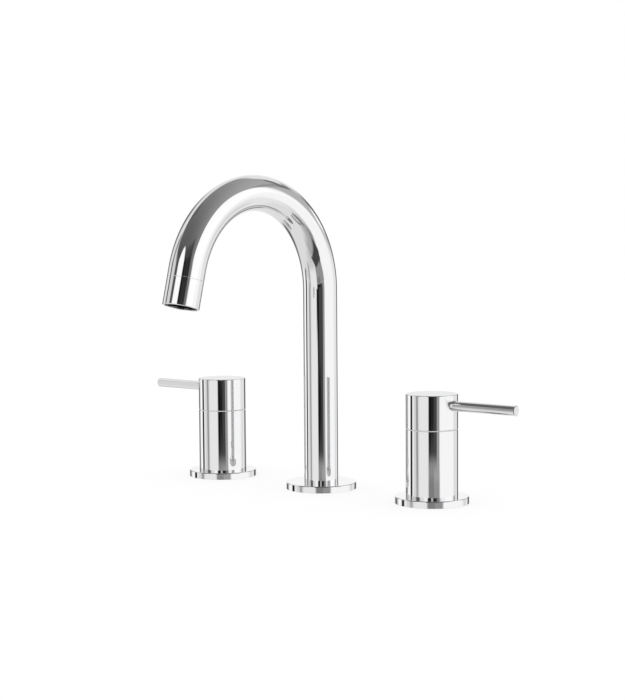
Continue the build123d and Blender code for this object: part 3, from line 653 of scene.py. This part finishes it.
# %% Steel
add_finish(
    "stainless_steel", "#C6C7C5", metallic=1.0, roughness=0.3,
    haze=dict(grain=1.5, detail=3.0, low=0.22, high=0.36),
    relief=dict(grain=0.2, depth=0.002),
)
add_finish(
    "zinc_steel", "#C9CCCE", metallic=1.0, roughness=0.36,
    tint=dict(grain=4.0, detail=4.0, start=0.35, end=0.65, first="#B4BABF", second="#D6D6CE"),
    haze=dict(grain=4.0, detail=4.0, low=0.26, high=0.46),
    relief=dict(grain=0.5, depth=0.004),
)

# %% [markdown]
# ### Rubber, acetal and ceramic
#
# The seals are moulded nitrile rubber: nearly black, matt, with a faint grey bloom. Acetal is a hard, waxy
# plastic with a soft sheen, and a moulding in it has a fine leather-like grain. The cartridge's discs are
# alumina, a dense off-white ceramic that is lapped flat, so it shines where it is lapped and is dull in the
# pores.

# %% Rubber, acetal and ceramic
add_finish(
    "black_rubber", "#242425", metallic=0.0, roughness=0.62,
    tint=dict(grain=3.0, detail=4.0, start=0.4, end=0.8, first="#1F1F20", second="#3A3A3B"),
    haze=dict(grain=3.0, detail=4.0, low=0.55, high=0.72),
    relief=dict(grain=0.3, depth=0.01),
)
for name, colour, shade, sheen in (
    ("black_acetal", "#131315", "#1B1B1D", 0.08),
    ("white_acetal", "#F0F0EF", "#E6E6E4", 0.5),
):
    add_finish(
        name, colour, metallic=0.0, roughness=0.38,
        tint=dict(grain=2.5, first=colour, second=shade),
        haze=dict(grain=2.5, low=0.32, high=0.44),
        relief=dict(grain=0.25, depth=0.004),
        plain={"IOR": 1.48, "Specular IOR Level": sheen},
    )
add_finish(
    "alumina", "#EFECE2", metallic=0.0, roughness=0.18,
    tint=dict(grain=1.2, detail=3.0, first="#F1EEE5", second="#E4DFD2"),
    haze=dict(grain=0.15, detail=3.0, start=0.4, end=0.75, low=0.12, high=0.34),
    plain={"IOR": 1.76},
)
print("finishes:", ", ".join(finishes))

# %% [markdown]
# ## The spout
#
# The spout is a one inch tube, bent over a mandrel through a little less than a half circle, with a short
# ferrule set in its end. A curve with a round bevel would draw its outside only. Here the axis is a formula
# for a straight column, an arc and a short nose, and the outline walks up the tube's outside, over its end
# and back down the bore. The ferrule's mouth is bored out for the aerator, and a bevel on both edges makes
# the thin joint line.

# %% Sizes of the spout, in millimetres
tube_low, tube_high = span("spout_tube")
tube_r = tube_high[0]
foot_h = tube_low[2]
tube_wall = 1.2
bend_r = 70.0
column_h = tube_high[2] - bend_r - tube_r
nose_tilt = radians(14.5)
nose_len = 26.0
ferrule_len = 19.0
spigot_len = 6.0
slide_gap = 0.05
seam_bevel = 0.25
mouth_wall = 1.7
mouth_depth = 14.0
mouth_round = 0.5
waterway_r = 8.5
screw_bore_r = 2.55
spout_screw_h = 12.0
beyond = 4.0  # a cutter runs this far past the face that it opens
bend_step, line_step = 1.5, 3.0  # lengths of the surface's strips

bend_len = bend_r * (pi - nose_tilt)
nose_start = column_h + bend_len
tube_end = nose_start + nose_len - ferrule_len
spout_end = nose_start + nose_len


def gooseneck(along):
    """The spout's axis, by the distance along it from the deck.

    It goes up to the column's height, round the bend in the plane x = 0, and on along the nose."""
    arc = np.clip((along - column_h) / bend_r, 0, pi - nose_tilt)
    past = np.clip(along - nose_start, 0, None)
    ahead = np.stack([np.zeros_like(arc), -np.sin(arc), np.cos(arc)], 1)
    centre = np.stack([
        np.zeros_like(arc),
        bend_r * (np.cos(arc) - 1),
        np.minimum(along, column_h) + bend_r * np.sin(arc),
    ], 1)
    across = np.tile([1.0, 0.0, 0.0], (len(arc), 1))
    return centre + past[:, None] * ahead, across, np.cross(ahead, across), ahead


def rod(axis, low, high, radius, around=48):
    """A plain round rod, used as a cutter."""
    return turned("rod", axis, [(low, 0), (low, radius), (high, radius), (high, 0)], around)


# %% Tube and ferrule
tube = turned(
    "spout_tube_drawn",
    gooseneck,
    [
        (foot_h, tube_r, 0, line_step),
        (column_h, tube_r, 0, bend_step),
        (nose_start, tube_r, 0, line_step),
        (tube_end - seam_bevel, tube_r),
        (tube_end, tube_r - seam_bevel),
        (tube_end, tube_r - tube_wall, 0, line_step),
        (nose_start, tube_r - tube_wall, 0, 2 * bend_step),
        (column_h, tube_r - tube_wall, 0, line_step),
        (foot_h, tube_r - tube_wall),
    ],
)
carve(tube, [rod(straight((0, 0, spout_screw_h), (0, 1, 0), (1, 0, 0)), 0, tube_r + beyond, screw_bore_r)])
fit(tube, chrome, "root", "spout_tube")

ferrule = turned(
    "spout_nose_ferrule",
    gooseneck,
    [
        (tube_end - spigot_len, tube_r - tube_wall - slide_gap),
        (tube_end, tube_r - tube_wall - slide_gap),
        (tube_end, tube_r - seam_bevel),
        (tube_end + seam_bevel, tube_r, 0, line_step),
        (spout_end, tube_r, mouth_round),
        (spout_end, tube_r - mouth_wall, mouth_round),
        (spout_end - mouth_depth, tube_r - mouth_wall),
        (spout_end - mouth_depth, waterway_r),
        (tube_end - spigot_len, waterway_r),
    ],
)
fit(ferrule, chrome, "root", "spout_nose")

# %% [markdown]
# ## Flanges
#
# Each unit stands on a thin round plate with a softened upper edge, a shallow seat on top for the tube or
# the sleeve, and a recess below for its soft gasket. The lower edge is only broken, so that the plate meets
# the deck in a sharp line. A cylinder with a bevel would give the rim, but not the seat and the recess, and
# its flat top wouldn't stay a flat mirror right up to the rounding.

# %% Flanges
stud_slack = 0.3


def flange(name, node, centre_x, foot_r, stud_r):
    """Round plate with its seat, its recess and the hole for its stud, turned as one piece."""
    low, high = span(node)
    rim_r, height, bore_r = (high[0] - low[0]) / 2, high[2], stud_r + stud_slack
    seat, recess, rim, top_round, broken_edge = 1.0, 1.6, 2.5, 0.8, 0.15
    piece = turned(
        name,
        upright(centre_x),
        [
            (0, rim_r - rim),
            (0, rim_r, broken_edge),
            (height, rim_r, top_round),
            (height, foot_r + slide_gap),
            (height - seat, foot_r + slide_gap),
            (height - seat, bore_r),
            (recess, bore_r),
            (recess, rim_r - rim),
        ],
        around=192,
        arc_steps=8,
    )
    fit(piece, chrome, "root", node)


sleeve_low, sleeve_high = span("right_sleeve")
handle_r = (sleeve_high[0] - sleeve_low[0]) / 2
unit_x = (sleeve_high[0] + sleeve_low[0]) / 2
shank_r, barrel_r = 9.0, 15.0
both_handles = (("left", -1), ("right", 1))
flange("spout_flange_plate", "spout_flange", 0.0, tube_r, shank_r)
for side_name, side in both_handles:
    flange(f"{side_name}_flange_plate", f"{side_name}_flange", side * unit_x, handle_r, barrel_r)

# %% [markdown]
# ## Handles
#
# A fixed lower cylinder, a thin seam, and the upper cylinder that turns, with its thin round lever. Plain
# cylinders would look the same in place, but these are true by themselves too. The sleeve has a web near
# its foot that screws on the barrel. The hub is solid above, with a boss for the brass adapter and a skirt
# over the plastic bearing, and its lever is shouldered in a socket.

# %% Sizes of the handles, in millimetres
sleeve_top = sleeve_high[2]
seam_edge = 0.1
hub_low, hub_high = span("right_handle_hub")
hub_bottom, hub_top = hub_low[2], hub_high[2]
lever_low, lever_high = span("right_lever")
lever_r = (lever_high[2] - lever_low[2]) / 2
lever_h = (lever_high[2] + lever_low[2]) / 2
lever_reach = lever_high[0] - unit_x
lever_sunk = 2.75
lever_spigot_r, lever_spigot_len = 2.5, 7.0
lever_bevel = 0.4
lever_seat = handle_r - lever_sunk
spigot_end = lever_seat - lever_spigot_len
sleeve_wall, sleeve_web_top = 2.0, 11.0
hub_wall, hub_top_wall, hub_round = 3.0, 6.5, 0.6
adapter_r, boss_r = 6.0, 9.0
boss_bottom, boss_top = 56.0, 62.0
hub_screw_h = 66.0
socket_end_gap = 0.3
web_r = barrel_r + slide_gap

# %% Sleeves, hubs and levers
for side_name, side in both_handles:
    handle_axis = upright(side * unit_x, side)
    outwards = straight((side * unit_x, 0, lever_h), (side, 0, 0), (0, 0, 1))
    backwards = straight((side * unit_x, 0, hub_screw_h), (0, 1, 0), (1, 0, 0))
    sleeve = turned(
        f"{side_name}_sleeve_turned",
        handle_axis,
        [
            (foot_h, web_r),
            (foot_h, handle_r, 0, line_step),
            (sleeve_top - seam_edge, handle_r),
            (sleeve_top, handle_r - seam_edge),
            (sleeve_top, handle_r - sleeve_wall, 0, line_step),
            (sleeve_web_top, handle_r - sleeve_wall),
            (sleeve_web_top, web_r),
        ],
        around=160,
    )
    fit(sleeve, chrome, "root", f"{side_name}_sleeve")
    hub = turned(
        f"{side_name}_handle_hub_turned",
        handle_axis,
        [
            (hub_top - hub_top_wall, 0),
            (hub_top - hub_top_wall, adapter_r + slide_gap),
            (boss_bottom, adapter_r + slide_gap),
            (boss_bottom, boss_r),
            (boss_top, boss_r),
            (boss_top, handle_r - hub_wall),
            (hub_bottom, handle_r - hub_wall),
            (hub_bottom, handle_r - seam_edge),
            (hub_bottom + seam_edge, handle_r, 0, line_step),
            (hub_top, handle_r, hub_round),
            (hub_top, 0),
        ],
        around=160,
        arc_steps=8,
    )
    carve(hub, [
        rod(outwards, lever_seat, handle_r + beyond, lever_r + slide_gap, around=96),
        rod(outwards, spigot_end - socket_end_gap, handle_r, lever_spigot_r + slide_gap),
        rod(backwards, 0, handle_r + beyond, screw_bore_r),
    ])
    fit(hub, chrome, f"{side_name}_handle", f"{side_name}_handle_hub")
    lever = turned(
        f"{side_name}_lever_turned",
        outwards,
        [
            (spigot_end, 0),
            (spigot_end, lever_spigot_r),
            (lever_seat, lever_spigot_r),
            (lever_seat, lever_r, 0, line_step),
            (lever_reach - lever_bevel, lever_r),
            (lever_reach, lever_r - lever_bevel),
            (lever_reach, 0),
        ],
        around=96,
    )
    fit(lever, chrome, f"{side_name}_handle", f"{side_name}_lever")

# %% [markdown]
# ## The works below the deck
#
# The shank, the valve barrels and the branches that take the hoses have screw threads, and the CAD model
# leaves them out. Each one is cut here into the same diameter, so that its crests still fill the nuts, and
# about 0.6 of its pitch deep, as metric and pipe threads are.

# %% Sizes of the works, in millimetres
shank_low, shank_high = span("spout_shank")
shank_bore_r = 5.5
shank_pitch, barrel_pitch, neck_pitch, inlet_pitch, branch_pitch = 1.5, 1.5, 1.0, 1.81, 1.06
thread_share = 0.6  # of the pitch
thread_steps = 10  # rows of the surface in each pitch
branch_r, branch_bore_r, branch_len = 7.14, 4.0, 15.0


def cut_thread(low, high, radius, pitch):
    """A thread over this stretch, as the turned surface takes it."""
    return low, high, radius, pitch, thread_share * pitch


# %% Shank
shank = turned(
    "spout_shank_threaded",
    upright(),
    [
        (shank_low[2], shank_bore_r),
        (shank_low[2], shank_r, 0, shank_pitch / thread_steps),
        (shank_high[2], shank_r),
        (shank_high[2], shank_bore_r),
    ],
    around=64,
    threads=[cut_thread(shank_low[2], shank_high[2], shank_r, shank_pitch)],
)
fit(shank, "turned_brass", "root", "spout_shank")

# %% [markdown]
# The tee is one casting: a cup that screws on the shank's foot, and two arms that end in the branch
# threads. The arms are turned as one piece through the cup, joined to it, and then everything is bored.

# %% Tee
tee_low, tee_high = span("spout_tee")
tee_r, tee_round, tee_collar_r, tee_collar_reach = 13.0, 2.0, 9.0, 17.0
tee_washer_h, arm_drop = 2.0, 12.0
tee_seat_h, arm_h = shank_low[2] - tee_washer_h, shank_low[2] - arm_drop
branch_reach = tee_high[0]
tee_arms = straight((0, 0, arm_h), (1, 0, 0), (0, 1, 0))
tee = turned(
    "spout_tee_cast",
    upright(),
    [(tee_low[2], 0), (tee_low[2], tee_r, tee_round), (tee_high[2], tee_r), (tee_high[2], 0)],
    around=96,
)
arms = turned(
    "tee_arms",
    tee_arms,
    [
        (-branch_reach, 0),
        (-branch_reach, branch_r, 0, branch_pitch / thread_steps),
        (-tee_collar_reach, branch_r),
        (-tee_collar_reach, tee_collar_r),
        (tee_collar_reach, tee_collar_r),
        (tee_collar_reach, branch_r, 0, branch_pitch / thread_steps),
        (branch_reach, branch_r),
        (branch_reach, 0),
    ],
    around=72,
    threads=[
        cut_thread(-branch_reach, -tee_collar_reach, branch_r, branch_pitch),
        cut_thread(tee_collar_reach, branch_reach, branch_r, branch_pitch),
    ],
)
carve(tee, [arms], "UNION")
carve(tee, [
    rod(upright(), tee_seat_h, tee_high[2] + beyond, shank_r + slide_gap, around=64),
    rod(upright(), arm_h, tee_seat_h + beyond, shank_bore_r, around=64),
    rod(tee_arms, -branch_reach - beyond, branch_reach + beyond, branch_bore_r, around=64),
])
fit(tee, "cast_brass", "root", "spout_tee")

# %% [markdown]
# A valve body is a long barrel that comes up through the deck, over a block with the inlet below and the
# outlet towards the spout. Water rises in the middle to the ceramic discs and comes down again outside
# them, through a channel in the barrel's wall, to the outlet.

# %% Valve bodies
valve_low, valve_high = span("right_valve_body")
block_r, block_bottom, block_top, block_bevel = 17.0, -84.0, -60.0, 2.0
neck_r, neck_low, neck_thread_low = 12.0, 12.0, 20.0
cartridge_r, seat_h, inlet_r = 10.0, 4.0, 10.475
inlet_way_r, inlet_mouth_r, inlet_mouth_top = 5.75, 6.5, -88.0
outlet_h, outlet_boss_r, outlet_boss_reach = -72.0, 9.0, 20.0
arm_start, channel_r, channel_offset, channel_top = 8.0, 2.75, 10.5, 11.0
outlet_reach = outlet_boss_reach + branch_len

for side_name, side in both_handles:
    valve = turned(
        f"{side_name}_valve_body_cast",
        upright(side * unit_x, side),
        [
            (valve_low[2], inlet_mouth_r),
            (valve_low[2], inlet_r, 0, inlet_pitch / thread_steps),
            (block_bottom, inlet_r),
            (block_bottom, block_r - block_bevel),
            (block_bottom + block_bevel, block_r),
            (block_top - block_bevel, block_r),
            (block_top, barrel_r, 0, barrel_pitch / thread_steps),
            (neck_low, barrel_r),
            (neck_low, neck_r, 0, neck_pitch / thread_steps),
            (valve_high[2], neck_r),
            (valve_high[2], cartridge_r),
            (seat_h, cartridge_r),
            (seat_h, inlet_way_r),
            (inlet_mouth_top, inlet_way_r),
            (inlet_mouth_top, inlet_mouth_r),
        ],
        around=72,
        threads=[
            cut_thread(valve_low[2], block_bottom, inlet_r, inlet_pitch),
            cut_thread(block_top, neck_low, barrel_r, barrel_pitch),
            cut_thread(neck_thread_low, valve_high[2], neck_r, neck_pitch),
        ],
    )
    outlet = straight((side * unit_x, 0, outlet_h), (-side, 0, 0), (0, 0, 1))
    arm = turned(
        "outlet_arm",
        outlet,
        [
            (arm_start, 0),
            (arm_start, outlet_boss_r),
            (outlet_boss_reach, outlet_boss_r),
            (outlet_boss_reach, branch_r, 0, branch_pitch / thread_steps),
            (outlet_reach, branch_r),
            (outlet_reach, 0),
        ],
        around=64,
        threads=[cut_thread(outlet_boss_reach, outlet_reach, branch_r, branch_pitch)],
    )
    carve(valve, [arm], "UNION")
    carve(valve, [
        rod(upright(side * (unit_x - channel_offset)), outlet_h, channel_top, channel_r),
        rod(outlet, channel_offset, outlet_reach + beyond, branch_bore_r),
    ])
    fit(valve, "cast_brass", "root", f"{side_name}_valve_body")

# %% [markdown]
# ## The aerator's screen
#
# The CAD model's screen is a plain disc, and a material with holes would do from far away. A real one is
# woven: each wire rides over the next crossing wire and under the one after, as a cosine of its own length.
# So every wire is turned round such a line, and a thin rim holds the ends.

# %% Woven screen, in millimetres
mesh_pitch, wire_r, wire_steps = 0.8, 0.11, 5
screen_rim_r, screen_rim_wall, screen_h = 9.7, 0.5, 0.6
aerator_washer_h = 2.0
screen_top = spout_end - mouth_depth + aerator_washer_h
screen_middle, screen_across, screen_up, screen_ahead = (
    value[0] for value in gooseneck(np.array([screen_top + screen_h / 2]))
)


def wire_axis(run, beside, offset, over):
    """Axis of one wire, this far beside the middle.

    At a distance s along it lies over * wire_r * cos(pi s / pitch) off the mesh's plane."""
    swing = pi / mesh_pitch

    def place(along):
        rise = over * wire_r * np.cos(swing * along)
        slope = -over * wire_r * swing * np.sin(swing * along)
        centre = screen_middle + along[:, None] * run + offset * beside + rise[:, None] * screen_ahead
        ahead = run + slope[:, None] * screen_ahead
        ahead /= np.linalg.norm(ahead, axis=1, keepdims=True)
        across = np.tile(beside, (len(along), 1))
        return centre, across, np.cross(ahead, across), ahead

    return place


wires_each_side = int((screen_rim_r - screen_rim_wall) / mesh_pitch)
strands = []
for run, beside, first_over in ((screen_across, screen_up, 1), (screen_up, screen_across, -1)):
    for k in range(-wires_each_side, wires_each_side + 1):
        offset = k * mesh_pitch
        half = np.sqrt((screen_rim_r - screen_rim_wall / 2) ** 2 - offset**2)
        strands.append(turned(
            "wire",
            wire_axis(run, beside, offset, first_over * (-1) ** k),
            [(-half, 0), (-half, wire_r, 0, mesh_pitch / wire_steps), (half, wire_r), (half, 0)],
            around=6,
        ))
screen = turned(
    "aerator_screen_woven",
    gooseneck,
    [
        (screen_top, screen_rim_r - screen_rim_wall),
        (screen_top, screen_rim_r),
        (screen_top + screen_h, screen_rim_r),
        (screen_top + screen_h, screen_rim_r - screen_rim_wall),
    ],
    around=96,
)
with bpy.context.temp_override(active_object=screen, selected_editable_objects=[screen, *strands]):
    bpy.ops.object.join()
fit(screen, "stainless_steel", "root", "aerator_screen")
print("screen of", len(strands), "wires")

# %% [markdown]
# ## The works that keep their own surfaces
#
# Seals, nuts, washers, discs and the aerator's core keep the CAD model's surfaces, which are plain as the
# real ones are. Each only gets the finish that the record names for it. The chrome ones all have their new
# surfaces already. Whatever hangs below the deck is left out of mirror rays, as the floor is.

# %% Finishes of the carried pieces
for entry in frame["record"]["subparts"]:
    node, slot_name = entry["node"], entry["material_slot"]
    piece = frame["nodes"][node]
    if slot_name != chrome:
        piece.data.materials.clear()
        piece.data.materials.append(finishes[slot_name])
    if below_deck(node):
        piece.visible_glossy = False
print(len(frame["nodes"]), "CAD nodes have their finishes")
